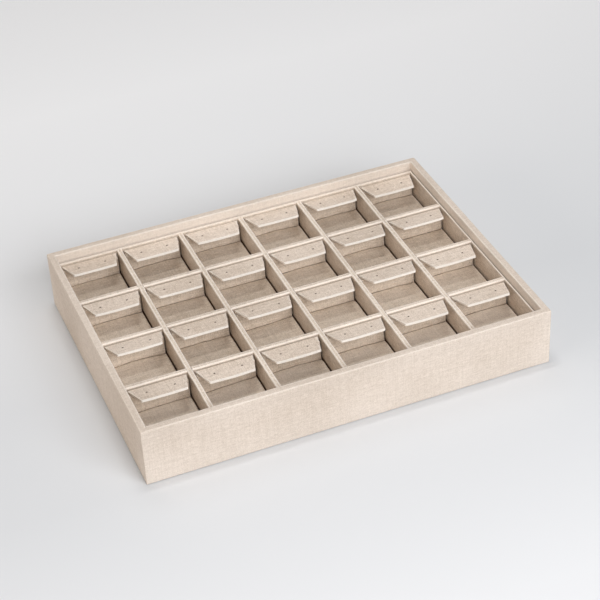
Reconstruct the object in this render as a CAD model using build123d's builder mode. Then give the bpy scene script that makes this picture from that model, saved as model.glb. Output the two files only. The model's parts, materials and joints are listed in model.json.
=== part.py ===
from build123d import *
from math import cos, radians, sin
import os

# Jewelry tray: a linen-covered box with a grid of cells set below its rim. Each cell holds a
# linen-covered insert, and the flap along the insert's top has two holes for earring posts.
# X runs left to right along the front, Y from front to back, Z up.
# The origin is the middle of the underside. Lengths are millimetres, angles degrees.

# The box
length = 350.0
width = 260.0
height = 53.0
wall_board = 5.0
linen = 0.65
rim_round = 1.3
corner_round = 0.8
hem_width = 14.0
base_thick = 3.0
lining_thick = 0.4
lining_inset = 3.0

# The raised floor and the frame that carries it
floor_thick = 2.4
floor_clearance = 0.15
frame_strip = 5.0
frame_clearance = 0.5
frame_windows = 3

# The grid of cells
columns = 6
rows = 4
rim_above_grid = 8.6
cell_depth = 19.9
divider_thick = 4.2
divider_round = 1.3
slot_clearance = 0.1
liner_thick = 1.2
back_liner_thick = 2.2
liner_round = 0.5
grid_gap_near = 0.2
grid_gap_far = 0.6

# The inserts: a floor panel with a thick block along its back
panel_thick = 1.8
block_thick = 6.0
insert_gap_left = 1.8
insert_gap_right = 1.5
insert_gap_front = 0.8
insert_gap_back = 0.5
insert_round = 0.6

# The flaps, each hinged along the top back edge of its insert's block
flap_thick = 1.8
flap_reach = 21.0
flap_front_width = 38.2
flap_corner_round = 0.7
flap_below_grid = 2.0
fold_gap = 0.15
hole_diameter = 1.0
hole_spacing = 23.4
hole_reach = 9.8

# How far each flap springs up from level: rows from the back, columns from the left
flap_tilts = [
    [9.0, 4.4, 5.2, 8.7, 10.1, 3.8],
    [7.4, 8.7, 8.5, 7.9, 11.5, 12.1],
    [13.2, 8.7, 12.6, 10.4, 13.5, 7.1],
    [11.0, 7.1, 7.4, 13.5, 8.7, 11.2],
]

# Levels, from the underside up and from the rim down
board_bottom = lining_thick + linen
board_top = height - linen
base_top = board_bottom + base_thick
grid_top = height - rim_above_grid
panel_top = grid_top - cell_depth
floor_top = panel_top - panel_thick
floor_bottom = floor_top - floor_thick
grid_middle = (floor_top + grid_top) / 2
fold_level = grid_top - flap_below_grid - flap_thick / 2
block_top = fold_level - flap_thick / 2 - fold_gap

# Plan sizes, from the outside in
core_length = length - 2 * linen
core_width = width - 2 * linen
room_length = core_length - 2 * wall_board
room_width = core_width - 2 * wall_board
inner_length = room_length - 2 * linen
inner_width = room_width - 2 * linen

# The grid stands nearer the front and left walls
liner_left = -inner_length / 2 + grid_gap_near
liner_right = inner_length / 2 - grid_gap_far
liner_front = -inner_width / 2 + grid_gap_near
liner_back = inner_width / 2 - grid_gap_far
grid_left = liner_left + liner_thick
grid_right = liner_right - liner_thick
grid_front = liner_front + liner_thick
grid_back = liner_back - back_liner_thick
grid_length = grid_right - grid_left
grid_width = grid_back - grid_front
grid_centre = ((grid_left + grid_right) / 2, (grid_front + grid_back) / 2)
cell_length = (grid_length - (columns - 1) * divider_thick) / columns
cell_width = (grid_width - (rows - 1) * divider_thick) / rows
column_pitch = cell_length + divider_thick
row_pitch = cell_width + divider_thick
slot_width = divider_thick + 2 * slot_clearance

# The insert's own sizes follow its cell
insert_length = cell_length - insert_gap_left - insert_gap_right
flap_back_width = insert_length

os.makedirs("parts", exist_ok=True)


def save(part, name):
    part.label = name
    export_step(part, f"parts/{name}.step")


# Underside lining: the sheet that the tray stands on
with BuildPart() as underside_lining:
    with BuildSketch(Plane.XY):
        Rectangle(length - 2 * lining_inset, width - 2 * lining_inset)
    extrude(amount=lining_thick)
save(underside_lining.part, "underside_lining")

# Base board: lies between the walls
with BuildPart() as base_board:
    with BuildSketch(Plane.XY.offset(board_bottom)):
        Rectangle(room_length, room_width)
    extrude(amount=base_thick)
save(base_board.part, "base_board")

# Wall boards: the front and back ones run past the ends of the side ones
for name, side in (("front_wall", -1), ("back_wall", 1)):
    with BuildPart() as long_wall:
        with BuildSketch(Plane.XY.offset(board_bottom)):
            with Locations((0, side * (core_width - wall_board) / 2)):
                Rectangle(core_length, wall_board)
        extrude(amount=board_top - board_bottom)
    save(long_wall.part, name)

for name, side in (("left_wall", -1), ("right_wall", 1)):
    with BuildPart() as side_wall:
        with BuildSketch(Plane.XY.offset(board_bottom)):
            with Locations((side * (core_length - wall_board) / 2, 0)):
                Rectangle(wall_board, room_width)
        extrude(amount=board_top - board_bottom)
    save(side_wall.part, name)

# Outer wrap: one linen skin over the walls' outsides, tops and insides, turned in underneath
with BuildPart() as outer_wrap:
    with BuildSketch(Plane.XY.offset(lining_thick)):
        Rectangle(length, width)
        Rectangle(inner_length, inner_width, mode=Mode.SUBTRACT)
    extrude(amount=height - lining_thick)
    upright = outer_wrap.edges().filter_by(Axis.Z)
    fillet(upright.sort_by(lambda edge: edge.center().length)[-4:], radius=corner_round)
    fillet(outer_wrap.edges().group_by(Axis.Z)[-1], radius=rim_round)
    with BuildSketch(Plane.XY.offset(board_bottom)):
        Rectangle(core_length, core_width)
        Rectangle(room_length, room_width, mode=Mode.SUBTRACT)
    extrude(amount=board_top - board_bottom, mode=Mode.SUBTRACT)
    with BuildSketch(Plane.XY.offset(board_bottom)):
        Rectangle(room_length, room_width)
    extrude(amount=floor_top - board_bottom, mode=Mode.SUBTRACT)
    with BuildSketch(Plane.XY.offset(lining_thick)):
        Rectangle(core_length, core_width)
        Rectangle(length - 2 * hem_width, width - 2 * hem_width, mode=Mode.SUBTRACT)
    extrude(amount=linen)
save(outer_wrap.part, "outer_wrap")

# Spacer frame: crossed strips between the base board and the raised floor
frame_length = room_length - 2 * frame_clearance
frame_width = room_width - 2 * frame_clearance
window_length = (frame_length - (frame_windows + 1) * frame_strip) / frame_windows
window_width = frame_width - 2 * frame_strip
with BuildPart() as spacer_frame:
    with BuildSketch(Plane.XY.offset(base_top)):
        Rectangle(frame_length, frame_width)
        with GridLocations(window_length + frame_strip, frame_width, frame_windows, 1):
            Rectangle(window_length, window_width, mode=Mode.SUBTRACT)
    extrude(amount=floor_bottom - base_top)
save(spacer_frame.part, "spacer_frame")

# Raised floor: the board that the grid and the inserts stand on
with BuildPart() as raised_floor:
    with BuildSketch(Plane.XY.offset(floor_bottom)):
        Rectangle(room_length - 2 * floor_clearance, room_width - 2 * floor_clearance)
    extrude(amount=floor_thick)
save(raised_floor.part, "raised_floor")

# Grid liners: four strips round the grid, the front and back ones between the side ones
with BuildPart() as grid_liners:
    with BuildSketch(Plane.XY.offset(floor_top)):
        for left in (liner_left, grid_right):
            with Locations((left + liner_thick / 2, (liner_front + liner_back) / 2)):
                Rectangle(liner_thick, liner_back - liner_front)
    extrude(amount=grid_top - floor_top)
    fillet(grid_liners.edges().group_by(Axis.Z)[-1].filter_by(Axis.Y), radius=liner_round)
    with BuildSketch(Plane.XY.offset(floor_top)):
        with Locations((grid_centre[0], grid_front - liner_thick / 2)):
            Rectangle(grid_length - 2 * slot_clearance, liner_thick)
        with Locations((grid_centre[0], grid_back + back_liner_thick / 2)):
            Rectangle(grid_length - 2 * slot_clearance, back_liner_thick)
    extrude(amount=grid_top - floor_top)
save(grid_liners.part, "grid_liners")

# Column dividers: run front to back, slotted from below where they cross
with BuildPart() as column_dividers:
    with BuildSketch(Plane.XY.offset(floor_top)):
        with Locations(grid_centre):
            with GridLocations(column_pitch, row_pitch, columns - 1, 1):
                Rectangle(divider_thick, grid_width)
    extrude(amount=grid_top - floor_top)
    fillet(column_dividers.edges().group_by(Axis.Z)[-1].filter_by(Axis.Y), radius=divider_round)
    with BuildSketch(Plane.XY.offset(floor_top)):
        with Locations(grid_centre):
            with GridLocations(column_pitch, row_pitch, columns - 1, rows - 1):
                Rectangle(slot_width, slot_width)
    extrude(amount=grid_middle - floor_top, mode=Mode.SUBTRACT)
save(column_dividers.part, "column_dividers")

# Row dividers: run left to right, slotted from above to take the column dividers
with BuildPart() as row_dividers:
    with BuildSketch(Plane.XY.offset(floor_top)):
        with Locations(grid_centre):
            with GridLocations(column_pitch, row_pitch, 1, rows - 1):
                Rectangle(grid_length, divider_thick)
    extrude(amount=grid_top - floor_top)
    fillet(row_dividers.edges().group_by(Axis.Z)[-1].filter_by(Axis.X), radius=divider_round)
    with BuildSketch(Plane.XY.offset(grid_middle)):
        with Locations(grid_centre):
            with GridLocations(column_pitch, row_pitch, columns - 1, rows - 1):
                Rectangle(slot_width, slot_width)
    extrude(amount=grid_top - grid_middle, mode=Mode.SUBTRACT)
save(row_dividers.part, "row_dividers")


# Insert: floor panel and back block in one piece, lying loose in its cell
def make_insert(cell_left, cell_front, name):
    left = cell_left + insert_gap_left
    front = cell_front + insert_gap_front
    back = cell_front + cell_width - insert_gap_back
    with BuildPart() as insert:
        with BuildSketch(Plane.YZ.offset(left)):
            with BuildLine():
                Polyline(
                    (front, floor_top),
                    (back, floor_top),
                    (back, block_top),
                    (back - block_thick, block_top),
                    (back - block_thick, panel_top),
                    (front, panel_top),
                    close=True,
                )
            make_face()
        extrude(amount=insert_length)
        lengthwise = insert.edges().filter_by(Axis.X)
        fillet(lengthwise.group_by(Axis.Y)[-1].sort_by(Axis.Z)[0], radius=insert_round)
        fillet(lengthwise.group_by(Axis.Z)[-1].sort_by(Axis.Y)[0], radius=insert_round)
    save(insert.part, name)


# Flap: a tapered panel with a round back edge, which is the fold that it turns on
def make_flap(cell_left, cell_front, tilt, name):
    middle = cell_left + insert_gap_left + insert_length / 2
    fold_place = cell_front + cell_width - insert_gap_back - flap_thick / 2
    upward = (0, sin(radians(tilt)), cos(radians(tilt)))
    flap_plane = Plane(origin=(middle, fold_place, fold_level), x_dir=(1, 0, 0), z_dir=upward)
    fold_plane = Plane(origin=(middle, fold_place, fold_level), x_dir=(0, 1, 0), z_dir=(1, 0, 0))
    with BuildPart() as flap:
        with BuildSketch(flap_plane) as outline:
            with BuildLine():
                Polyline(
                    (-flap_back_width / 2, 0),
                    (-flap_front_width / 2, -flap_reach),
                    (flap_front_width / 2, -flap_reach),
                    (flap_back_width / 2, 0),
                    close=True,
                )
            make_face()
            fillet(outline.vertices().sort_by(Axis.Y)[:2], radius=flap_corner_round)
            with Locations((-hole_spacing / 2, -hole_reach), (hole_spacing / 2, -hole_reach)):
                Circle(hole_diameter / 2, mode=Mode.SUBTRACT)
        extrude(amount=flap_thick / 2, both=True)
        with BuildSketch(fold_plane):
            Circle(flap_thick / 2)
        extrude(amount=flap_back_width / 2, both=True)
    save(flap.part, name)


# Cells are lettered from the left and numbered from the front
for row in range(rows):
    tilts = flap_tilts[row % len(flap_tilts)]
    for column in range(columns):
        cell_left = grid_left + column * column_pitch
        cell_front = grid_back - cell_width - row * row_pitch
        cell_name = chr(ord("a") + column) + str(rows - row)
        make_insert(cell_left, cell_front, "insert_" + cell_name)
        make_flap(cell_left, cell_front, tilts[column % len(tilts)], "flap_" + cell_name)
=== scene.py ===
import json
from math import hypot, pi, radians

import bmesh
import bpy
from mathutils import Matrix, Vector, noise


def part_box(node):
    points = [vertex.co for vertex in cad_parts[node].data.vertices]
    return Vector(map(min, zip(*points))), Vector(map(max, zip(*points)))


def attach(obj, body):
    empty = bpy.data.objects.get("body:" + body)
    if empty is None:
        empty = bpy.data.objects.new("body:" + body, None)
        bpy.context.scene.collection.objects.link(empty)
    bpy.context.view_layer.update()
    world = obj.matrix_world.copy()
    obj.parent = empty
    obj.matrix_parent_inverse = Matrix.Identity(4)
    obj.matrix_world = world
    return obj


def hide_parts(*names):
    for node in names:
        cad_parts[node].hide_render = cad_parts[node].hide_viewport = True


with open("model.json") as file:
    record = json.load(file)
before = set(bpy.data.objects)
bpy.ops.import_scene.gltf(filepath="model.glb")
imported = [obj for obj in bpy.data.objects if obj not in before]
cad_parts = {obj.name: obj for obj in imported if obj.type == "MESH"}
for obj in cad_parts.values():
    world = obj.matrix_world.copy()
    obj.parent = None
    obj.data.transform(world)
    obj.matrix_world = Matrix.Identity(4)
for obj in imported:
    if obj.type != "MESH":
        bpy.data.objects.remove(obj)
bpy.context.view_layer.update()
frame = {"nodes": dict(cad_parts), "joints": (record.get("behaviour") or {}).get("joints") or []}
nodes = frame["nodes"]
scene = bpy.context.scene
noise.seed_set(12)              # without it the waves of the cloth change from run to run

# Shapes are drawn in millimetres and turned into metres when a piece is finished
toMetres = Matrix.Scale(0.001, 4)
slack = 0.01                    # a point this near to a level or a line lies on it, mm
cutSlack = 1e-5                 # and this near to a cut, mm


def boxOf(node):
    low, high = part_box(node)
    return low * 1000, high * 1000


def clamp(value):
    return min(1.0, max(0.0, value))


def fromEnds(value, low, high, reach):
    # 1 well inside the range, falling to 0 at both ends
    return min(1.0, (value - low) / reach, (high - value) / reach)


# Materials: a value that is None leaves its input as it is

def setSocket(tree, socket, value):
    if isinstance(value, bpy.types.NodeSocket):
        tree.links.new(value, socket)
    elif value is not None:
        socket.default_value = value


def addNode(tree, kind, *values, **settings):
    made = tree.nodes.new(kind)
    for key, value in settings.items():
        setattr(made, key, value)
    for socket, value in zip(made.inputs, values):
        setSocket(tree, socket, value)
    return made


def fillInputs(tree, node, values):
    for name, value in values.items():
        setSocket(tree, node.inputs[name], value)
    return node.outputs[0]


def maths(tree, operation, *values):
    return addNode(tree, "ShaderNodeMath", *values, operation=operation).outputs[0]


def choose(tree, factor, first, second):
    return addNode(
        tree, "ShaderNodeMix", factor, None, first, second, data_type="FLOAT"
    ).outputs[0]


def mixColours(tree, factor, first, second):
    made = addNode(tree, "ShaderNodeMix", factor, data_type="RGBA")
    setSocket(tree, made.inputs[6], first)
    setSocket(tree, made.inputs[7], second)
    return made.outputs[2]


def spread(tree, value, low, high, newLow, newHigh):
    return addNode(
        tree, "ShaderNodeMapRange", value, low, high, newLow, newHigh, clamp=True
    ).outputs[0]


def attribute(tree, name):
    return addNode(tree, "ShaderNodeAttribute", attribute_name=name).outputs["Fac"]


def bumpFrom(tree, height, strength, relief):
    made = addNode(tree, "ShaderNodeBump")
    return fillInputs(tree, made, {"Strength": strength, "Distance": relief, "Height": height})


def solidNoise(tree, place, scale, detail=2.0):
    made = addNode(tree, "ShaderNodeTexNoise")
    return fillInputs(tree, made, {"Vector": place, "Scale": scale, "Detail": detail})


def flatNoise(tree, x, y, detail=2.0):
    made = addNode(tree, "ShaderNodeTexNoise", noise_dimensions="2D")
    place = addNode(tree, "ShaderNodeCombineXYZ", x, y, 0.0).outputs[0]
    return fillInputs(tree, made, {"Vector": place, "Scale": 1.0, "Detail": detail})


def streaks(tree, u, v, along, across, detail=2.0):
    # noise drawn out along one thread direction
    return flatNoise(
        tree, maths(tree, "DIVIDE", u, along), maths(tree, "DIVIDE", v, across), detail
    )


def clothPlace(tree):
    # lays the cloth flat on whichever side a face looks to: u and v run along the threads, in mm
    source = addNode(tree, "ShaderNodeTexCoord").outputs
    place = addNode(tree, "ShaderNodeMapping", source["Object"])
    place.inputs["Scale"].default_value = (1000, 1000, 1000)
    x, y, z = addNode(tree, "ShaderNodeSeparateXYZ", place.outputs[0]).outputs
    side = addNode(tree, "ShaderNodeVectorMath", source["Normal"], operation="ABSOLUTE")
    sx, sy, sz = addNode(tree, "ShaderNodeSeparateXYZ", side.outputs[0]).outputs
    facesX = maths(tree, "GREATER_THAN", sx, maths(tree, "MAXIMUM", sy, sz))
    facesZ = maths(tree, "GREATER_THAN", sz, maths(tree, "MAXIMUM", sx, sy))
    return choose(tree, facesX, x, y), choose(tree, facesZ, z, y), place.outputs[0]


def newMaterial(name):
    made = bpy.data.materials.new(name)
    made.use_nodes = True
    return made, made.node_tree, made.node_tree.nodes["Principled BSDF"]


def shaded(colour, share):
    return tuple(part * share for part in colour) + (1,)


linenLook = {
    "thread": 0.62,             # mm from one thread to the next
    "wander": 0.3, "wanderOften": 0.3,  # how far threads stray, mm, and how often
    "warpSlub": 2.2, "weftSlub": 5.5,   # length of a thick or thin stretch of a thread, mm
    "threadLong": 45.0,         # how long a thread keeps its own thickness, mm
    # the noise's step from thread to thread, and its start for warp and weft
    "slubNoise": (7.31, 0.0, 40.0), "lineNoise": (5.17, 90.0, 20.0),
    "patchLong": 6.0, "patchThick": 1.2, "cloudScale": 0.014,
    # how far each of them moves the cloth between dark and light
    "slubTone": 0.42, "lineTone": 0.26, "patchTone": 0.03, "cloudTone": 0.14,
    "domeTone": (0.30, 0.62),   # between the threads, and on their tops
    "light": (0.805, 0.708, 0.617),
    "dark": (0.563, 0.472, 0.386),
    "shade": 1.0,
    # the lighter colour laid on edges, for wear and painted highlight, and how strongly
    "worn": (0.86, 0.79, 0.71), "wornShades": (0.92, 1.09),
    "wear": 0.8,
    # the colour of painted shade in creases, gaps, nooks and hole rims
    "crease": (0.11, 0.068, 0.045, 1),
    "roughness": (0.96, 0.88), "specular": 0.12,
    "sheen": 0.05, "sheenRoughness": 0.5, "sheenTint": (0.95, 0.80, 0.65, 1),
    "bump": 0.6, "slubBump": (0.5, 1.5),    # thick stretches of a thread stand higher
    "relief": 0.00009,          # height of the weave, m
}


def linenMaterial(name, **changes):
    look = {**linenLook, **changes}
    made, tree, shader = newMaterial(name)
    u, v, place = clothPlace(tree)
    uSlow, vSlow = (maths(tree, "MULTIPLY", along, look["wanderOften"]) for along in (u, v))
    drift = maths(tree, "SUBTRACT", flatNoise(tree, uSlow, vSlow), 0.5)
    stray = 2 * look["wander"] / look["thread"]
    warpCount, weftCount = (maths(tree, "MULTIPLY", along, 1 / look["thread"]) for along in (u, v))
    warpAt = maths(tree, "MULTIPLY_ADD", drift, stray, warpCount)
    weftAt = maths(tree, "MULTIPLY_ADD", drift, -stray, weftCount)
    # warp and weft lie on top by turns, each with a small dome at the crossing
    warpWave, weftWave = (
        maths(tree, "SINE", maths(tree, "MULTIPLY", at, pi)) for at in (warpAt, weftAt)
    )
    crossing = maths(tree, "MULTIPLY", warpWave, weftWave)
    weftOnTop = maths(tree, "GREATER_THAN", crossing, 0.0)
    dome = maths(tree, "POWER", maths(tree, "ABSOLUTE", crossing), 0.5)

    def threadNoise(settings, warpLong, weftLong):
        # every thread has a tone of its own, which changes along its length
        step, warpStart, weftStart = settings
        tones = [
            flatNoise(
                tree, maths(tree, "MULTIPLY_ADD", maths(tree, "FLOOR", at), step, start),
                maths(tree, "DIVIDE", along, length),
            )
            for at, start, along, length in (
                (warpAt, warpStart, v, warpLong), (weftAt, weftStart, u, weftLong)
            )
        ]
        return choose(tree, weftOnTop, *tones)

    slubs = threadNoise(look["slubNoise"], look["warpSlub"], look["weftSlub"])
    # thicker and thinner threads show as fine lines, much longer than their slubs
    lines = threadNoise(look["lineNoise"], look["threadLong"], look["threadLong"])
    patches = maths(
        tree, "ADD",
        streaks(tree, u, v, look["patchLong"], look["patchThick"]),
        streaks(tree, v, u, look["patchLong"], look["patchThick"]),
    )
    cloud = solidNoise(tree, place, look["cloudScale"], 0.0)
    mood = 0.0
    for part, low, high, reach in (
        (slubs, 0.25, 0.75, look["slubTone"]), (lines, 0.25, 0.75, look["lineTone"]),
        (patches, 0.7, 1.3, look["patchTone"]), (cloud, 0.3, 0.7, look["cloudTone"]),
    ):
        mood = maths(tree, "ADD", mood, spread(tree, part, low, high, -reach, reach))
    mood = maths(tree, "ADD", mood, spread(tree, dome, 0.0, 1.0, *look["domeTone"]))
    mood = spread(tree, mood, 0.0, 1.0, 0.0, 1.0)
    dark, light = (shaded(look[key], look["shade"]) for key in ("dark", "light"))
    wornDark, wornLight = (shaded(look["worn"], share) for share in look["wornShades"])
    # wear and painted highlight on the edges are strongest on the tops of the threads
    wear = spread(tree, dome, 0.0, 1.0, 0.5 * look["wear"], look["wear"])
    colour = mixColours(
        tree, maths(tree, "MULTIPLY", attribute(tree, "edgeWearAndHighlight"), wear),
        mixColours(tree, mood, dark, light), mixColours(tree, mood, wornDark, wornLight),
    )
    height = maths(tree, "MULTIPLY", dome, spread(tree, slubs, 0.25, 0.75, *look["slubBump"]))
    # painted shade darkens the colour where the shade layer is set
    fillInputs(tree, shader, {
        "Base Color": mixColours(tree, attribute(tree, "paintedShade"), colour, look["crease"]),
        "Roughness": spread(tree, dome, 0.0, 1.0, *look["roughness"]),
        "Specular IOR Level": look["specular"],
        "Sheen Weight": look["sheen"],
        "Sheen Roughness": look["sheenRoughness"],
        "Sheen Tint": look["sheenTint"],
        "Normal": bumpFrom(tree, height, look["bump"], look["relief"]),
    })
    return made


# the board's colour is darker than its own brown, as painted shade in the gaps and holes where it
# shows
boardLook = {
    "light": (0.11, 0.062, 0.042, 1), "dark": (0.045, 0.024, 0.016, 1),
    "fibreLong": 3.5, "fibreThick": 0.5, "fleck": 0.9, "range": (0.38, 0.62),
    "roughness": (0.9, 0.8), "specular": 0.05, "bump": 0.5, "relief": 0.00006,
}


def boardMaterial(name, look):
    made, tree, shader = newMaterial(name)
    u, v, place = clothPlace(tree)
    fibres = streaks(tree, u, v, look["fibreLong"], look["fibreThick"], detail=4.0)
    flecks = solidNoise(tree, place, look["fleck"], 5.0)
    mood = maths(tree, "MULTIPLY_ADD", fibres, 0.5, maths(tree, "MULTIPLY", flecks, 0.5))
    mood = spread(tree, mood, *look["range"], 0.0, 1.0)
    fillInputs(tree, shader, {
        "Base Color": mixColours(tree, mood, look["dark"], look["light"]),
        "Roughness": spread(tree, mood, 0.0, 1.0, *look["roughness"]),
        "Specular IOR Level": look["specular"],
        "Normal": bumpFrom(tree, mood, look["bump"], look["relief"]),
    })
    return made


linen = linenMaterial("linenCover")
# the inserts' linen is yellower than the cover's, as painted warm shade in the cells
insertLinen = linenMaterial(
    "linenInsert", thread=0.7, light=(0.87, 0.758, 0.636), dark=(0.507, 0.411, 0.313),
)
# the flaps' linen is lighter, as painted light on their tops, with strong painted highlight on the
# edges
flapLinen = linenMaterial(
    "linenFlap", thread=0.7, light=(0.885, 0.774, 0.672), dark=(0.516, 0.419, 0.329),
    worn=(0.90, 0.84, 0.76), shade=1.05, wear=1.5,
)
# the dividers' linen is yellower, as painted warm shade, with a lighter edge colour for wear and
# painted highlight
dividerLinen = linenMaterial(
    "linenDivider", thread=0.7, light=(0.875, 0.762, 0.648), dark=(0.50, 0.41, 0.32),
    worn=(0.93, 0.86, 0.78),
)
liningLinen = linenMaterial("linenLining", shade=0.85, wear=0.0)
board = boardMaterial("boardDarkenedAsShade", boardLook)
print("materials made")


# Meshes

def everything(bm):
    return bm.verts[:] + bm.edges[:] + bm.faces[:]


def once(items):
    return list(dict.fromkeys(items))


def cutAt(bm, axis, places):
    # cuts right through the shape, square to one axis
    normal = Vector([float(i == axis) for i in range(3)])
    for place in places:
        bmesh.ops.bisect_plane(
            bm, geom=everything(bm), dist=cutSlack, plane_co=normal * place, plane_no=normal
        )


def evenly(low, high, step):
    count = max(1, round((high - low) / step))
    return [low + (high - low) * i / count for i in range(1, count)]


def pullOut(bm, faces, move):
    made = bmesh.ops.extrude_face_region(bm, geom=faces)["geom"]
    verts = [part for part in made if isinstance(part, bmesh.types.BMVert)]
    bmesh.ops.translate(bm, verts=verts, vec=move)
    bmesh.ops.delete(bm, geom=faces, context="FACES")


def cubeBetween(bm, low, high):
    low, high = Vector(low), Vector(high)
    place = Matrix.Translation((low + high) / 2) @ Matrix.Diagonal((*(high - low), 1.0))
    bmesh.ops.create_cube(bm, size=1.0, matrix=place)


def roundOff(bm, edges, offset, segments, layer=None, worn=1.0):
    made = bmesh.ops.bevel(
        bm, geom=edges, offset=offset, offset_type="OFFSET", segments=segments, profile=0.5,
        affect="EDGES", clamp_overlap=True, material=-1,
    )
    if layer is not None:
        for vert in made["verts"]:
            vert[layer] = worn


def edgesWhere(bm, test):
    return [edge for edge in bm.edges if test((edge.verts[0].co + edge.verts[1].co) / 2, edge)]


def runsAlong(edge, axis):
    a, b = (vert.co for vert in edge.verts)
    d = b - a
    return abs(d[axis]) > 0.99 * d.length


def climb(edge):
    return abs(edge.verts[0].co.z - edge.verts[1].co.z)


def isSharp(edge, least=1.0):
    return edge.calc_face_angle(0.0) > least


def uneven(bm, amount, size, seed, axes=(1, 1, 1), keep=None):
    # glued cloth is never quite flat: slow waves of a tenth of a millimetre or so
    offset = Vector((seed * 17.3, seed * 5.1, seed * 9.7))
    for vert in bm.verts:
        share = 1.0 if keep is None else keep(vert.co)
        if share:
            wave = noise.noise_vector(vert.co / size + offset)
            vert.co += Vector([wave[i] * axes[i] for i in range(3)]) * amount * share


def keepUnder(bm, top):
    for vert in bm.verts:
        vert.co.z = min(vert.co.z, top)


def newShape():
    # one layer is for rubbed edges and painted highlights, the other for painted shade in creases,
    # gaps, nooks and hole rims
    bm = bmesh.new()
    layers = bm.verts.layers.float
    for name in ("paintedShade", "edgeWearAndHighlight"):
        layers.new(name)
    return bm, layers["edgeWearAndHighlight"], layers["paintedShade"]


def joinInto(target, bm):
    spare = bpy.data.meshes.new("spare")
    bm.to_mesh(spare)
    bm.free()
    target.from_mesh(spare)
    bpy.data.meshes.remove(spare)


def finishPiece(bm, name, body, replaced, material, place=None):
    if place is not None:
        bm.transform(place)
    bm.transform(toMetres)
    bmesh.ops.recalc_face_normals(bm, faces=bm.faces)
    for edge in bm.edges:
        edge.smooth = edge.is_manifold and not isSharp(edge, radians(50))
    for face in bm.faces:
        face.smooth = True
    mesh = bpy.data.meshes.new(name)
    bm.to_mesh(mesh)
    bm.free()
    piece = bpy.data.objects.new(name, mesh)
    scene.collection.objects.link(piece)
    mesh.materials.append(material)
    evenNormals = piece.modifiers.new("evenNormals", "WEIGHTED_NORMAL")
    evenNormals.keep_sharp = True
    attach(piece, body)
    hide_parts(*replaced)
    return piece


# The box's outer wrap

wrap = {
    "thick": 0.65, "hem": 14.0, "bottom": 0.4, "foot": 22.7, "wall": 6.3,
    "outerStrip": 1.7, "innerStrip": 1.25,  # the rim's top is cut this far from its edges
    "step": 7.0, "hemMargin": 2.0, "underRim": 1.5,
    "levels": (2.0, 10.0, 19.0, 28.0, 37.0, 45.0, 46.2),
    "rimRound": 0.9, "footRound": 0.5, "cornerRound": 0.8,
    "foldHalf": 0.4, "seam": 0.22, "merge": 0.003,
    "wave": 0.08, "waveLong": 45.0,
    # wear and painted highlight on the rim's outer edges and corners, painted highlight on its
    # inner edges
    "rimWearAndHighlight": 0.15, "innerRimHighlight": 0.8, "cornerWearAndHighlight": 0.2,
    "frontHighlight": 0.65,          # painted highlight where the front's top edge catches the light
    "innerLight": 0.6,           # painted light: the rim's inner faces are a little lighter
    "nookDusk": 0.17, "nookTop": 45.1,      # and painted shade where they meet the grid
    # painted light makes the front a little lighter towards its foot, and painted shade darker
    # under the rim
    "footLight": 0.33, "footReach": 28.0,
    "topDusk": 0.04, "topDuskFrom": 34.0, "topDuskOver": 12.0,
}


def foldCorners(bm, extra, top):
    # cuts on both sides of each corner of the rim, where a fold of the cloth runs across
    for sx, sy in ((-1, -1), (-1, 1), (1, -1), (1, 1)):
        centre = Vector((sx * extra, 0, 0))
        across = Vector((sx, -sy, 0)).normalized()
        for gap in (-wrap["foldHalf"], wrap["foldHalf"]):
            middles = {face: face.calc_center_median() for face in bm.faces}
            faces = [
                face for face, c in middles.items()
                if c.z > top - 0.4 and c.x * sx > 0 and c.y * sy > 0
            ]
            parts = once(
                faces + [v for face in faces for v in face.verts]
                + [e for face in faces for e in face.edges]
            )
            bmesh.ops.bisect_plane(
                bm, geom=parts, dist=cutSlack, plane_co=centre + across * gap, plane_no=across
            )


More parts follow.
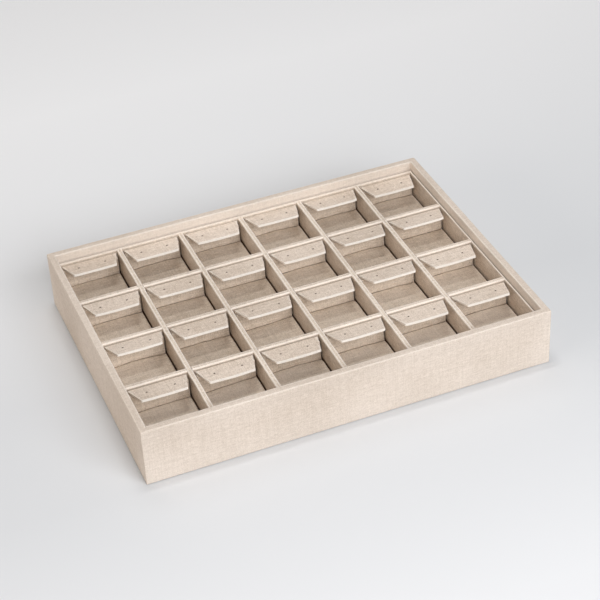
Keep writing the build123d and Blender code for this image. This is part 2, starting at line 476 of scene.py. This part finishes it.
def makeWrap():
    low, high = boxOf("outer_wrap")
    halfWide, extra = high.y, high.x - high.y
    top, bottom, foot = high.z, wrap["bottom"], wrap["foot"]
    thick, wall, hem = wrap["thick"], wrap["wall"], wrap["hem"]

    def reachOut(c):
        # how far out a point lies, as if the box were square
        return max(abs(c.x) - extra, abs(c.y))

    def onDiagonal(c, near):
        return abs(abs(c.x) - extra - abs(c.y)) < near

    # the section through a wall: how far in from the outer face, and how high
    outline = [
        (hem, bottom), (0, bottom), (0, top),
        (wrap["outerStrip"], top), (wall - wrap["innerStrip"], top), (wall, top),
        (wall, foot), (wall - thick, foot), (wall - thick, top - thick), (thick, top - thick),
        (thick, bottom + thick), (hem, bottom + thick),
    ]
    bm, wear, paintedShade = newShape()
    corner = [bm.verts.new((halfWide - inset, halfWide - inset, level)) for inset, level in outline]
    for first, second in zip(corner, corner[1:] + corner[:1]):
        bm.edges.new((first, second))
    # turned in four steps it is a square frame, which is then drawn out to its length
    bmesh.ops.spin(
        bm, geom=bm.verts[:] + bm.edges[:], cent=(0, 0, 0), axis=(0, 0, 1),
        angle=radians(360), steps=4, use_merge=True,
    )
    bmesh.ops.remove_doubles(bm, verts=bm.verts, dist=1e-4)
    for vert in bm.verts:
        vert.co.x += extra if vert.co.x > 0 else -extra
    cutHalf = halfWide - hem - wrap["hemMargin"]
    cutAt(bm, 0, evenly(-extra - cutHalf, extra + cutHalf, wrap["step"]))
    cutAt(bm, 1, evenly(-cutHalf, cutHalf, wrap["step"]))
    cutAt(bm, 2, [*wrap["levels"], top - wrap["underRim"]])

    # the rounded edges take wear and painted highlight, the rim's inner edges and the front's top
    # edge the most
    rim = edgesWhere(bm, lambda c, e: c.z > top - slack and isSharp(e) and climb(e) < slack)
    roundOff(bm, rim, wrap["rimRound"], 5, wear, wrap["rimWearAndHighlight"])
    for vert in bm.verts:
        if vert[wear] and reachOut(vert.co) < halfWide - wall / 2:
            vert[wear] = wrap["innerRimHighlight"]
        elif vert[wear] and vert.co.y < 0.5 - halfWide and vert.co.z > top - 0.6:
            vert[wear] = wrap["frontHighlight"]
    footEdges = edgesWhere(
        bm, lambda c, e: c.z < bottom + slack and isSharp(e) and reachOut(c) > halfWide - slack
    )
    roundOff(bm, footEdges, wrap["footRound"], 2)
    upright = edgesWhere(
        bm, lambda c, e: isSharp(e, 0.3) and onDiagonal(c, slack)
        and reachOut(c) > halfWide - 1.2 and bottom + 0.4 < c.z < top - 0.05
    )
    roundOff(bm, upright, wrap["cornerRound"], 3, wear, wrap["cornerWearAndHighlight"])

    foldCorners(bm, extra, top)
    for vert in bm.verts:
        if vert.co.z > top - 0.5 and onDiagonal(vert.co, 0.05):
            vert.co.z -= wrap["seam"]
    # painted light on the rim's inner faces and the front's foot, painted shade in the nooks and
    # under the rim
    for vert in bm.verts:
        z = vert.co.z
        if z >= top - 1:
            continue
        if reachOut(vert.co) < halfWide - wall + 0.05:
            vert[wear] = wrap["innerLight"]
            if z < wrap["nookTop"]:
                vert[paintedShade] = wrap["nookDusk"]
        if vert.co.y < 0.05 - halfWide:
            vert[wear] = max(vert[wear], wrap["footLight"] * (1 - z / wrap["footReach"]))
            share = clamp((z - wrap["topDuskFrom"]) / wrap["topDuskOver"])
            vert[paintedShade] = wrap["topDusk"] * share
    uneven(bm, wrap["wave"], wrap["waveLong"], 1, keep=lambda c: clamp((c.z - 1) / 4))
    keepUnder(bm, top)
    for vert in bm.verts:
        vert.co.x = max(min(vert.co.x, high.x), low.x)
        vert.co.y = max(min(vert.co.y, high.y), low.y)
    bmesh.ops.remove_doubles(bm, verts=bm.verts, dist=wrap["merge"])
    finishPiece(bm, "outerWrapLinen", "tray", ["outer_wrap"], linen)


makeWrap()
print("outer wrap made")


# The grid: column dividers, row dividers and liners

grid = {
    "columns": 6, "rows": 4, "divider": 4.2, "slot": 4.4,
    "foot": 24.0,               # below this the dividers are in the dark of the gaps
    "round": 0.85, "step": 4.6, "levelStep": 4.0, "underTop": 1.6,
    # painted shade: strong below the foot, at the sides further down, and in the nook behind the
    # flaps
    "footDusk": 0.8, "sideDusk": 0.02, "lowDusk": 0.15, "nookDusk": 0.3,
    "wave": 0.16, "waveLong": 13.0,
    "linerRound": 0.5, "linerStep": 5.0, "linerUnderTop": 1.2, "linerPlay": 0.1,
    "linerHighlight": (0.9, 1.4),    # painted highlight on the top edges of those along the front and back, and of the side ones
    "linerWave": 0.07, "linerWaveLong": 15.0,
}
columnLow, columnHigh = boxOf("column_dividers")
rowLow, rowHigh = boxOf("row_dividers")
grid["left"], grid["right"] = rowLow.x, rowHigh.x
grid["front"], grid["back"] = columnLow.y, columnHigh.y
grid["bottom"], grid["top"] = rowLow.z, rowHigh.z


def dividerPlaces(low, high, cells):
    pitch = (high - low + grid["divider"]) / cells
    return [low + pitch * (i + 1) - grid["divider"] / 2 for i in range(cells - 1)]


columnPlaces = dividerPlaces(grid["left"], grid["right"], grid["columns"])
rowPlaces = dividerPlaces(grid["front"], grid["back"], grid["rows"])


def sideDusk(z):
    # painted shade: the sides of the dividers and liners are darker further down
    share = (grid["top"] - z) / (grid["top"] - grid["foot"])
    return grid["sideDusk"] + grid["lowDusk"] * min(1.0, share)


def dividerShape(low, high, slots, along):
    # half-lapped where the others cross it: a column from below, a row from above
    across, fromBelow = 1 - along, along == 1
    middle, half = (low.z + high.z) / 2, grid["slot"] / 2
    bm, wear, paintedShade = newShape()
    start, end = low.copy(), high.copy()
    if fromBelow:
        start.z = middle
    else:
        end.z = middle
    cubeBetween(bm, start, end)
    cutAt(bm, along, [edge for slot in slots for edge in (slot - half, slot + half)])
    middles = {face: face.calc_center_median() for face in bm.faces}
    standing = [
        face for face, c in middles.items()
        if abs(face.normal.z) > 0.9 and abs(c.z - middle) < slack
        and all(abs(c[along] - slot) > half for slot in slots)
    ]
    pullOut(bm, standing, (0, 0, (low.z if fromBelow else high.z) - middle))
    cutAt(bm, along, evenly(low[along], high[along], grid["step"]))
    inset, underTop = grid["round"] + 0.6, high.z - grid["underTop"]
    cutAt(bm, across, [low[across] + inset, high[across] - inset])
    levels = evenly(low.z, underTop, grid["levelStep"])
    cutAt(bm, 2, levels + [underTop, grid["foot"], grid["foot"] + 0.6])
    top = edgesWhere(
        bm, lambda c, e: c.z > high.z - slack and isSharp(e) and runsAlong(e, along)
    )
    # the rounded top edges take wear and painted highlight
    roundOff(bm, top, grid["round"], 4, wear)
    # painted shade below the foot, at the sides and behind the flaps
    for vert in bm.verts:
        if vert.co.z < grid["foot"] + slack:
            vert[paintedShade] = grid["footDusk"]
        elif vert.co.z < high.z - 1.5:
            behindFlap = along == 0 and vert.co.y < low.y + slack
            vert[paintedShade] = grid["nookDusk"] if behindFlap else sideDusk(vert.co.z)
    axes = [0.35, 0.35, 0.5]
    axes[across] = 1.0
    uneven(
        bm, grid["wave"], grid["waveLong"], round(low.x + low.y) % 97, axes=axes,
        keep=lambda c: fromEnds(c[along], low[along], high[along], 3),
    )
    keepUnder(bm, high.z)
    return bm


def makeDividers(name, node, places, slots, along):
    shapes = newShape()[0]
    for place in places:
        low = Vector((grid["left"], grid["front"], grid["bottom"]))
        high = Vector((grid["right"], grid["back"], grid["top"]))
        low[1 - along] = place - grid["divider"] / 2
        high[1 - along] = place + grid["divider"] / 2
        joinInto(shapes, dividerShape(low, high, slots, along))
    finishPiece(shapes, name, "tray", [node], dividerLinen)


def linerShape(low, high, along):
    bm, wear, paintedShade = newShape()
    cubeBetween(bm, low, high)
    foot, top = low[2], high[2]
    underTop = top - grid["linerUnderTop"]
    cutAt(bm, along, evenly(low[along], high[along], grid["linerStep"]))
    cutAt(bm, 2, evenly(foot, underTop, grid["linerStep"]) + [underTop])
    # the top edges take painted highlight, the sides painted shade lower down
    edges = edgesWhere(bm, lambda c, e: c.z > top - slack and isSharp(e) and runsAlong(e, along))
    roundOff(bm, edges, grid["linerRound"], 3, wear, grid["linerHighlight"][along])
    for vert in bm.verts:
        if vert.co.z < top - 1.0:
            vert[paintedShade] = sideDusk(vert.co.z)
    uneven(bm, grid["linerWave"], grid["linerWaveLong"], along + 3, axes=(1, 1, 0.6))
    keepUnder(bm, top)
    return bm


def makeLiners():
    low, high = boxOf("grid_liners")
    left, right = grid["left"] + grid["linerPlay"], grid["right"] - grid["linerPlay"]
    strips = (
        (low.x, low.y, grid["left"], high.y, 1),
        (grid["right"], low.y, high.x, high.y, 1),
        (left, low.y, right, grid["front"], 0),
        (left, grid["back"], right, high.y, 0),
    )
    shapes = newShape()[0]
    for lowX, lowY, highX, highY, along in strips:
        joinInto(shapes, linerShape((lowX, lowY, low.z), (highX, highY, high.z), along))
    finishPiece(shapes, "gridLinersLinen", "tray", ["grid_liners"], dividerLinen)


makeDividers("columnDividersLinen", "column_dividers", columnPlaces, rowPlaces, 1)
makeDividers("rowDividersLinen", "row_dividers", rowPlaces, columnPlaces, 0)
makeLiners()
print("grid made")


# Inserts: a floor panel with a block along its back

insert = {
    "panel": 1.8, "block": 6.0, "round": 0.55,
    "edgeStrip": 1.4, "stepX": 2.7, "stepY": 2.3, "stepZ": 4.0,
    "creaseStrips": (0.5, 1.5, 3.5),    # cuts beside the crease between floor and block
    "wave": 0.2, "waveLong": 14.0,
    # wear and painted highlight on the edges; painted shade on the block under the flap, in the gap
    # at the right and in the crease
    "edgeWearAndHighlight": 0.2, "blockDusk": 0.08, "gapDusk": 0.7, "creaseDusk": 0.6,
    # painted light makes the panels a little lighter in the front rows, and painted shade darker at
    # the back
    "lightened": (0.45, 0.1, 0.0, 0.0), "dimmed": (0.0, 0.0, 0.03, 0.08),
    "groove": 0.8, "creaseReach": 7.0, "creaseWave": 0.35,
    # how high the crease lies at the left, middle and right, mm, row by row from the front
    "creases": (
        ((-1.5, -1.0, -1.0), (-2.0, -1.0, -0.2), (-1.9, -1.3, -2.0),
         (-1.7, -1.3, -2.0), (-1.3, -0.9, -0.6), (-1.2, -0.4, -1.0)),
        ((-1.2, -0.1, -1.3), (-1.3, -0.8, -1.5), (-2.1, -1.5, -0.4),
         (-2.2, -2.0, -2.0), (-0.7, -0.1, -1.2), (-0.5, -0.2, -0.6)),
        ((-1.1, -0.6, -0.6), (-1.3, -1.3, -1.6), (-0.8, -0.9, -1.3),
         (-1.7, -1.0, -1.0), (-1.9, -0.3, -1.6), (-0.8, -1.0, -0.9)),
        ((-0.6, -0.4, 0.0), (-0.9, 0.1, -0.5), (-1.4, -0.5, -0.9),
         (-0.8, 0.1, -0.8), (-1.0, -0.1, -0.3), (-0.3, 0.1, -0.6)),
    ),
    # long soft folds across the floor panel: how far before the block, and how they lie
    "folds": (9.0, 16.0, 24.0, 33.0),
    "fold": 0.35, "foldHalf": 3.2, "foldLong": 18.0, "foldDrift": 6.0,
}


def makeInsert(cell, column, row, seed):
    low, high = boxOf("insert_" + cell)
    floorTop = low.z + insert["panel"]
    blockFront = high.y - insert["block"]
    strip = insert["edgeStrip"]
    left, right = low.x + strip, high.x - strip
    front, underTop = low.y + strip, high.z - strip
    near, middle, far = insert["creaseStrips"]
    bm, wear, paintedShade = newShape()
    cubeBetween(bm, low, (high.x, high.y, floorTop))
    cutAt(bm, 1, [blockFront])
    block = [f for f in bm.faces if f.normal.z > 0.9 and f.calc_center_median().y > blockFront]
    pullOut(bm, block, (0, 0, high.z - floorTop))
    cutAt(bm, 0, [left, right] + evenly(left, right, insert["stepX"]))
    cutAt(bm, 1, [front, blockFront - middle, blockFront - near]
          + evenly(front, blockFront - middle, insert["stepY"]))
    cutAt(bm, 2, [floorTop + near, floorTop + middle, floorTop + far]
          + evenly(floorTop + far, underTop, insert["stepZ"]) + [underTop])
    outer = edgesWhere(
        bm, lambda c, e: isSharp(e) and c.z > floorTop - slack
        and not (abs(c.y - blockFront) < slack and abs(c.z - floorTop) < slack)
    )
    roundOff(bm, outer, insert["round"], 3, wear, insert["edgeWearAndHighlight"])
    atLeft, atMiddle, atRight = insert["creases"][row][column]

    def crease(x):
        t = (x - low.x) / (high.x - low.x) * 2 - 1
        bend = atMiddle + (atRight - atLeft) / 2 * t
        bend += ((atLeft + atRight) / 2 - atMiddle) * min(1.0, t * t * 1.6)
        wave = noise.noise(Vector((x / 7.0 + seed * 7.1, seed * 3.3, 0.0)))
        return bend + insert["creaseWave"] * wave

    def folds(x, y):
        height = 0.0
        for count, place in enumerate(insert["folds"]):
            drift = noise.noise_vector(Vector((x / insert["foldLong"], count * 5.0, seed * 2.7)))
            away = (y + place + drift.x * insert["foldDrift"]) / insert["foldHalf"]
            height += drift.z * 2.0 * max(0.0, 1 - away ** 2) ** 2
        return insert["fold"] * height

    lightened, dimmed = insert["lightened"][row], insert["dimmed"][row]
    for vert in bm.verts:
        x, y, z = vert.co.x, vert.co.y - blockFront, vert.co.z - floorTop
        # painted shade in the gap at the right
        if x > high.x - 0.05 and z < -0.5:
            vert[paintedShade] = insert["gapDusk"]
        # painted light on the front rows' floors, painted shade on the back row's
        if y < -0.4 and abs(z) < 0.6:
            vert[wear], vert[paintedShade] = max(vert[wear], lightened), max(vert[paintedShade], dimmed)
        # painted shade on the block under the flap
        if y > -0.1 and z > 0.8 and vert.co.y < high.y - 1.0:
            vert[paintedShade] = insert["blockDusk"]
        if z < -0.7 or vert.co.y > high.y - 1.0:
            continue
        rise = crease(x) * max(0.0, 1.0 - hypot(y, z) / insert["creaseReach"])
        vert.co.y += 0.7 * rise
        vert.co.z += 0.5 * rise
        if abs(y) < 0.02 and abs(z) < 0.02:  # the crease itself is a narrow groove, with painted shade
            vert.co.y += insert["groove"]
            vert.co.z -= insert["groove"]
            patch = noise.noise(Vector((x / 5.0, seed * 1.9, 7.0)))
            vert[paintedShade] = insert["creaseDusk"] + 0.5 * patch
        elif y < -0.4 and z < 0.1:
            vert.co.z += folds(x, y) * fromEnds(x, low.x, high.x, 3)

    def waving(c):
        if c.z < floorTop - 0.9:
            return 0.0
        return max(0.0, min(fromEnds(c.x, low.x, high.x, 4), (c.y - low.y) / 4))

    uneven(bm, insert["wave"], insert["waveLong"], seed, keep=waving)
    keepUnder(bm, high.z)
    finishPiece(bm, "insertLinen_" + cell, "insert_" + cell, ["insert_" + cell], insertLinen)


# Flaps: tapered panels with two post holes, a little bowed

flap = {
    "thick": 1.8, "reach": 21.0, "backWidth": 48.9, "frontWidth": 38.2,
    "corner": 0.7, "round": 0.4,
    "holeApart": 23.4, "holeReach": 9.8, "hole": 0.5, "holeSides": 16,
    "aroundHole": (-1.0, -0.5, 0.0, 0.5, 1.0),
    "cutsX": (-21.0, -18.0, -15.0, -8.0, -4.8, -1.6, 1.6, 4.8, 8.0, 15.0, 18.0, 21.0),
    "frontStrip": 1.7, "cutsY": (-17.6, -15.5, -13.0, -6.0, -3.0, 0.0),
    # painted shade along the back fold, and weaker painted highlight on the sides than at the front
    "noseDusk": 0.3, "sideHighlight": 0.4,
    "bow": 0.7, "wave": 0.16, "waveLong": 12.0,
}


def openHole(bm, hole, paintedShade):
    # a round opening is bridged into the square that is taken out for it
    half = max(flap["aroundHole"])
    middles = {face: face.calc_center_median() - hole for face in bm.faces}
    square = [face for face, c in middles.items() if max(abs(c.x), abs(c.y)) < half]
    rim = [edge for edge in bm.edges if sum(f in square for f in edge.link_faces) == 1]
    bmesh.ops.delete(bm, geom=square, context="FACES")
    lowered = Matrix.Translation(hole + Vector((0, 0, -1)))
    circle = bmesh.ops.create_circle(
        bm, segments=flap["holeSides"], radius=flap["hole"], matrix=lowered
    )["verts"]
    bmesh.ops.bridge_loops(bm, edges=rim + once(e for v in circle for e in v.link_edges))
    bmesh.ops.translate(bm, verts=circle, vec=(0, 0, 1))
    # painted shade around the hole's rim
    for vert in circle:
        vert[paintedShade] = 1.0


def makeFlap(cell, fold, tilt, seed):
    bm, wear, paintedShade = newShape()
    nose, half, reach = flap["thick"] / 2, flap["backWidth"] / 2, flap["reach"]
    flat = Matrix.Translation((0, (nose - reach) / 2, 0))
    flat = flat @ Matrix.Diagonal((2 * half, reach + nose, 1, 1))
    bmesh.ops.create_grid(bm, x_segments=1, y_segments=1, size=0.5, matrix=flat)
    holes = [Vector((side * flap["holeApart"] / 2, -flap["holeReach"], 0)) for side in (-1, 1)]
    around = flap["aroundHole"]
    cutAt(bm, 0, [hole.x + step for hole in holes for step in around] + [*flap["cutsX"]])
    cutAt(bm, 1, [step - flap["holeReach"] for step in around]
          + [flap["frontStrip"] - reach, *flap["cutsY"]])
    for hole in holes:
        openHole(bm, hole, paintedShade)
    taper = (flap["backWidth"] - flap["frontWidth"]) / 2
    for side in (-1, 1):
        bmesh.ops.bisect_plane(
            bm, geom=everything(bm), dist=cutSlack, plane_co=(side * half, 0, 0),
            plane_no=Vector((side * reach, -taper, 0)).normalized(), clear_outer=True,
        )
    corners = [
        vert for vert in bm.verts
        if vert.co.y < slack - reach and abs(abs(vert.co.x) - flap["frontWidth"] / 2) < 0.05
    ]
    bmesh.ops.bevel(
        bm, geom=corners, offset=flap["corner"], offset_type="OFFSET", segments=3, profile=0.5,
        affect="VERTICES", material=-1,
    )
    bmesh.ops.solidify(bm, geom=bm.faces[:], thickness=flap["thick"])
    levels = [vert.co.z for vert in bm.verts]
    bmesh.ops.translate(bm, verts=bm.verts, vec=(0, 0, -(min(levels) + max(levels)) / 2))
    back = edgesWhere(bm, lambda c, e: isSharp(e) and c.y > nose - slack and runsAlong(e, 0))
    roundOff(bm, back, nose * 0.96, 4)

    def fromHole(c):
        return min((c - hole).xy.length for hole in holes)

    # the rounded edges take painted highlight, mostly at the front
    outer = edgesWhere(
        bm, lambda c, e: isSharp(e, 0.9) and fromHole(c) > 1.5 and climb(e) < 0.02 and c.y < -0.2
    )
    roundOff(bm, outer, flap["round"], 3, wear)
    # painted shade along the back fold, weaker painted highlight on the sides
    for vert in bm.verts:
        if vert.co.y > 0.35:
            vert[paintedShade] = flap["noseDusk"]
        elif vert.co.y > 1.2 - reach:
            vert[wear] *= flap["sideHighlight"]
    bmesh.ops.remove_doubles(bm, verts=bm.verts, dist=0.01)
    for face in bm.faces:  # inside the holes the bare board shows, darkened as painted shade
        if fromHole(face.calc_center_median()) < flap["hole"]:
            face.material_index = 1
    bow = flap["bow"] * (0.6 + 1.1 * abs(noise.noise(Vector((seed * 3.7, 0.4, 0.0)))))
    for vert in bm.verts:
        vert.co.z += bow * clamp(-vert.co.y / reach) * ((vert.co.x / half) ** 2 - 0.35)
    uneven(bm, flap["wave"], flap["waveLong"], seed + 40, keep=lambda c: clamp(-c.y / 4))
    place = Matrix.Translation(fold) @ Matrix.Rotation(radians(-tilt), 4, "X")
    piece = finishPiece(bm, "flapLinen_" + cell, "flap_" + cell, ["flap_" + cell], flapLinen, place)
    piece.data.materials.append(board)


joints = {joint["name"]: joint for joint in frame["joints"]}
for row in range(grid["rows"]):
    for column in range(grid["columns"]):
        cell = "abcdef"[column] + str(row + 1)
        seed = row * grid["columns"] + column
        makeInsert(cell, column, row, seed)
        hinge = joints[f"flap_{cell}_fold"]
        makeFlap(cell, Vector(hinge["pos_m"]) * 1000, -hinge["range_deg"][0], seed)
print("inserts and flaps made")


# The boards and the lining keep their CAD shapes

def dress(name, material):
    nodes[name].data.materials.clear()
    nodes[name].data.materials.append(material)


for name in ("base_board", "front_wall", "back_wall", "left_wall", "right_wall"):
    dress(name, board)
for name in ("spacer_frame", "raised_floor"):
    dress(name, board)
dress("underside_lining", liningLinen)


# Floor, lights and camera

# the air gives a low warm light, and is pale grey where the camera or a shiny surface sees it
air = {
    "light": (1.0, 0.955, 0.915, 1), "strength": 0.26,
    "seen": (0.96, 0.98, 1.0, 1), "seenStrength": 0.78,
}


def seenRays(tree):
    rays = addNode(tree, "ShaderNodeLightPath").outputs
    shiny = maths(tree, "MAXIMUM", rays["Is Glossy Ray"], rays["Is Transmission Ray"])
    return maths(tree, "MAXIMUM", rays["Is Camera Ray"], shiny)


stageLook = {
    "size": 8.0, "cells": 8, "under": 0.0002,   # under the tray, m
    "near": (0.704, 0.717, 0.729, 1), "far": (0.938, 0.944, 0.951, 1),
    # painted shadow: darker near the tray, it is paler behind the tray, from here to here, and half
    # as much before it
    "behind": (0.0, 0.45), "before": (-0.13, -0.35), "beforeShare": 0.45,
    "grain": 2.0, "grainShare": 0.05, "roughness": 0.9, "specular": 0.1,
    # far from it, where the lamps' light ends, it turns a plain pale grey to the camera
    "fade": (1.0, 1.7),
}


def makeFloor():
    shape = bmesh.new()
    bmesh.ops.create_grid(
        shape, x_segments=stageLook["cells"], y_segments=stageLook["cells"],
        size=stageLook["size"], matrix=Matrix.Translation((0, 0, -stageLook["under"])),
    )
    mesh = bpy.data.meshes.new("paleFloor")
    shape.to_mesh(mesh)
    shape.free()
    floor = bpy.data.objects.new("paleFloor", mesh)
    scene.collection.objects.link(floor)
    paper, tree, shader = newMaterial("palePaper")
    place = addNode(tree, "ShaderNodeTexCoord").outputs["Object"]
    y = addNode(tree, "ShaderNodeSeparateXYZ", place).outputs[1]
    behind = spread(tree, y, *stageLook["behind"], 0.0, 1.0)
    before = spread(tree, y, *stageLook["before"], 0.0, stageLook["beforeShare"])
    grain = maths(tree, "SUBTRACT", solidNoise(tree, None, stageLook["grain"]), 0.5)
    grain = maths(tree, "MULTIPLY", grain, stageLook["grainShare"])
    # painted shadow: the floor is darker near the tray
    paleness = maths(tree, "ADD", maths(tree, "MAXIMUM", behind, before), grain)
    surface = fillInputs(tree, shader, {
        "Base Color": mixColours(tree, paleness, stageLook["near"], stageLook["far"]),
        "Roughness": stageLook["roughness"],
        "Specular IOR Level": stageLook["specular"],
    })
    away = addNode(tree, "ShaderNodeVectorMath", place, operation="LENGTH").outputs["Value"]
    lightened = spread(tree, away, *stageLook["fade"], 0.0, 1.0)
    share = maths(tree, "MULTIPLY", lightened, seenRays(tree))
    glow = addNode(tree, "ShaderNodeEmission", air["seen"], air["seenStrength"]).outputs[0]
    mixed = addNode(tree, "ShaderNodeMixShader", share, surface, glow).outputs[0]
    setSocket(tree, tree.nodes["Material Output"].inputs["Surface"], mixed)
    mesh.materials.append(paper)


makeFloor()

lamps = {
    "keySoftbox": {
        "place": (0.315, -1.785, 1.246), "size": (1.9, 1.2), "power": 39.0,
        "colour": (0.98, 1.0, 1.045),
    },
    "leftReflector": {
        "place": (-1.900, -0.500, 0.650), "size": (1.2, 0.8), "power": 10.3,
        "colour": (1.03, 0.93, 0.855),
    },
    "backSoftbox": {
        "place": (0.081, 0.926, 1.994), "size": (0.8, 0.8), "power": 5.0,
        "colour": (1.0, 1.0, 1.0),
    },
    "topSoftbox": {
        "place": (0.0, 0.15, 2.2), "size": (0.6, 0.16), "power": 8.3,
        "colour": (1.0, 1.0, 1.0),
    },
}
for name, lamp in lamps.items():
    light = bpy.data.lights.new(name, "AREA")
    light.shape = "RECTANGLE"
    light.size, light.size_y = lamp["size"]
    light.energy = lamp["power"]
    light.color = lamp["colour"]
    made = bpy.data.objects.new(name, light)
    made.location = lamp["place"]
    made.rotation_euler = Vector(lamp["place"]).to_track_quat("Z", "Y").to_euler()
    made.visible_camera = False
    scene.collection.objects.link(made)

world = bpy.data.worlds.new("studioAir")
scene.world = world
world.use_nodes = True
tree = world.node_tree
seen = seenRays(tree)
fillInputs(tree, tree.nodes["Background"], {
    "Color": mixColours(tree, seen, air["light"], air["seen"]),
    "Strength": spread(tree, seen, 0.0, 1.0, air["strength"], air["seenStrength"]),
})

view = {
    "azimuth": -20.32, "elevation": 36.64, "roll": -3.34,
    "place": (-0.4074, -1.1200, 0.9195), "lens": 105.84,
}
camera = bpy.data.objects.new("photoCamera", bpy.data.cameras.new("photoCamera"))
camera.data.lens = view["lens"]
camera.data.sensor_width = 36.0
camera.data.clip_start = 0.01
camera.matrix_world = (
    Matrix.Translation(view["place"])
    @ Matrix.Rotation(radians(view["azimuth"]), 4, "Z")
    @ Matrix.Rotation(radians(90 - view["elevation"]), 4, "X")
    @ Matrix.Rotation(radians(view["roll"]), 4, "Z")
)
scene.collection.objects.link(camera)
scene.camera = camera
scene.view_settings.view_transform = "Standard"
print("stage, lamps and camera placed")
